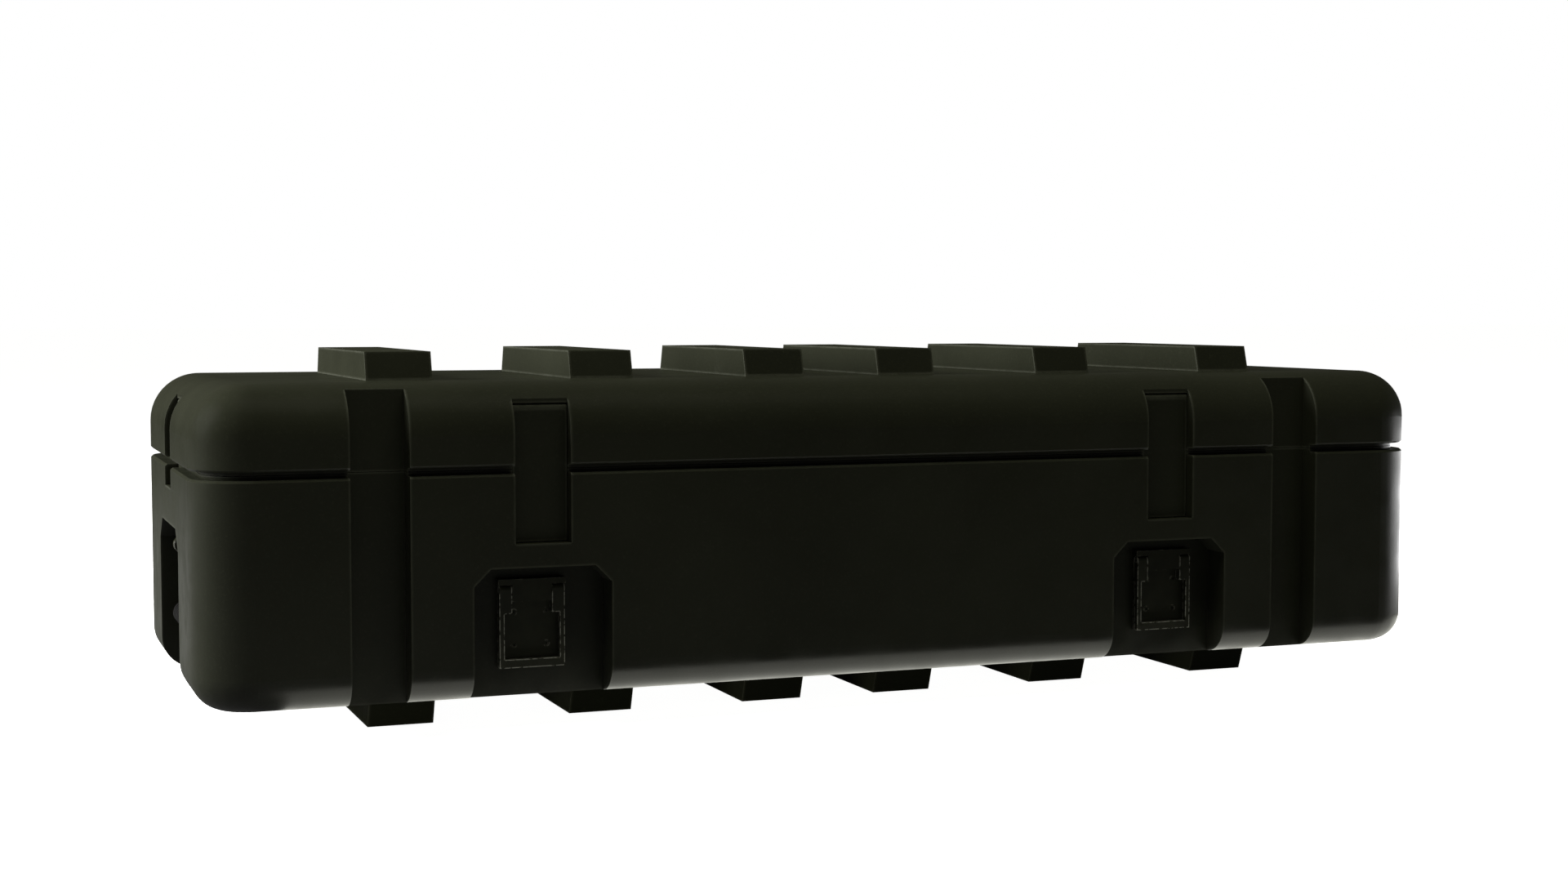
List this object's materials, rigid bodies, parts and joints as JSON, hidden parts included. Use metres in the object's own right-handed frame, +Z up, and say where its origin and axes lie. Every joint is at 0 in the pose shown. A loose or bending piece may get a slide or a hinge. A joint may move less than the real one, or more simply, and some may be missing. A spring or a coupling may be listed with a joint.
{
  "type": "footlocker",
  "caption": "Long plastic footlocker on runners, with a hinged lid, flush drop latches, strap channels, tie-down bails and end handles.",
  "frame": {"origin": "centre of the closed case's footprint at the underside of its runners", "axes": "+X to the case's right along its length, +Y from the front face to the hinged rear, +Z up"},
  "size_m": [1.22, 0.418, 0.3344],
  "materials": {
    "shell_plastic": "fine moulded texture",
    "rib_plastic": "satin, scuffed edges",
    "latch_plastic": "satin",
    "coated_steel": "satin dark coating, worn at the edges",
    "worn_steel": "satin dark coating, bright worn edges",
    "bare_steel": "dull zinc",
    "black_rubber": "matt"
  },
  "bodies": {
    "base": {"base_shell": "shell_plastic", "skid_1": "rib_plastic", "skid_2": "rib_plastic", "skid_3": "rib_plastic", "skid_4": "rib_plastic", "skid_5": "rib_plastic", "skid_6": "rib_plastic", "skid_screws": "bare_steel", "keeper_fl": "coated_steel", "keeper_fr": "coated_steel", "keeper_l": "coated_steel", "keeper_r": "coated_steel", "keeper_screws": "bare_steel", "bail_bracket_fl": "coated_steel", "bail_bracket_fr": "coated_steel", "bail_bracket_rl": "coated_steel", "bail_bracket_rr": "coated_steel", "bail_pins": "bare_steel", "bracket_screws": "coated_steel", "handle_bracket_l": "coated_steel", "handle_bracket_r": "coated_steel", "handle_pins": "bare_steel", "handle_screws": "bare_steel", "hinge_base_l": "coated_steel", "hinge_base_c": "coated_steel", "hinge_base_r": "coated_steel", "hinge_pins": "bare_steel", "hinge_base_screws": "bare_steel"},
    "lid": {"lid_shell": "shell_plastic", "gasket": "black_rubber", "bar_1": "rib_plastic", "bar_2": "rib_plastic", "bar_3": "rib_plastic", "bar_4": "rib_plastic", "bar_5": "rib_plastic", "bar_6": "rib_plastic", "bar_screws": "bare_steel", "latch_pins": "bare_steel", "hinge_lid_l": "coated_steel", "hinge_lid_c": "coated_steel", "hinge_lid_r": "coated_steel", "hinge_lid_screws": "bare_steel"},
    "latch_fl": {"latch_fl": "latch_plastic"},
    "latch_fr": {"latch_fr": "latch_plastic"},
    "latch_l": {"latch_l": "latch_plastic"},
    "latch_r": {"latch_r": "latch_plastic"},
    "bail_fl": {"bail_fl": "worn_steel"},
    "bail_fr": {"bail_fr": "worn_steel"},
    "bail_rl": {"bail_rl": "worn_steel"},
    "bail_rr": {"bail_rr": "worn_steel"},
    "handle_l": {"handle_l": "worn_steel", "grip_l": "black_rubber"},
    "handle_r": {"handle_r": "worn_steel", "grip_r": "black_rubber"}
  },
  "joints": [
    {"name": "lid_hinge", "type": "hinge", "parent": "base", "child": "lid", "pos_m": [0, 0.206, 0.23285], "axis": [-1, 0, 0], "range_deg": [0, 115]},
    {"name": "latch_fl_swing", "type": "hinge", "parent": "lid", "child": "latch_fl", "pos_m": [-0.3144, -0.1935, 0.2865], "axis": [-1, 0, 0], "range_deg": [0, 85]},
    {"name": "latch_fr_swing", "type": "hinge", "parent": "lid", "child": "latch_fr", "pos_m": [0.3144, -0.1935, 0.2865], "axis": [-1, 0, 0], "range_deg": [0, 85]},
    {"name": "latch_l_swing", "type": "hinge", "parent": "lid", "child": "latch_l", "pos_m": [-0.5945, 0, 0.2865], "axis": [0, 1, 0], "range_deg": [0, 85]},
    {"name": "latch_r_swing", "type": "hinge", "parent": "lid", "child": "latch_r", "pos_m": [0.5945, 0, 0.2865], "axis": [0, -1, 0], "range_deg": [0, 85]},
    {"name": "bail_fl_swing", "type": "hinge", "parent": "base", "child": "bail_fl", "pos_m": [-0.3199, -0.1852, 0.126], "axis": [-1, 0, 0], "range_deg": [0, 90]},
    {"name": "bail_fr_swing", "type": "hinge", "parent": "base", "child": "bail_fr", "pos_m": [0.3199, -0.1852, 0.126], "axis": [-1, 0, 0], "range_deg": [0, 90]},
    {"name": "bail_rl_swing", "type": "hinge", "parent": "base", "child": "bail_rl", "pos_m": [-0.3199, 0.1852, 0.126], "axis": [1, 0, 0], "range_deg": [0, 90]},
    {"name": "bail_rr_swing", "type": "hinge", "parent": "base", "child": "bail_rr", "pos_m": [0.3199, 0.1852, 0.126], "axis": [1, 0, 0], "range_deg": [0, 90]},
    {"name": "handle_l_swing", "type": "hinge", "parent": "base", "child": "handle_l", "pos_m": [-0.5919, 0, 0.151], "axis": [0, 1, 0], "range_deg": [0, 90]},
    {"name": "handle_r_swing", "type": "hinge", "parent": "base", "child": "handle_r", "pos_m": [0.5919, 0, 0.151], "axis": [0, -1, 0], "range_deg": [0, 90]}
  ]
}
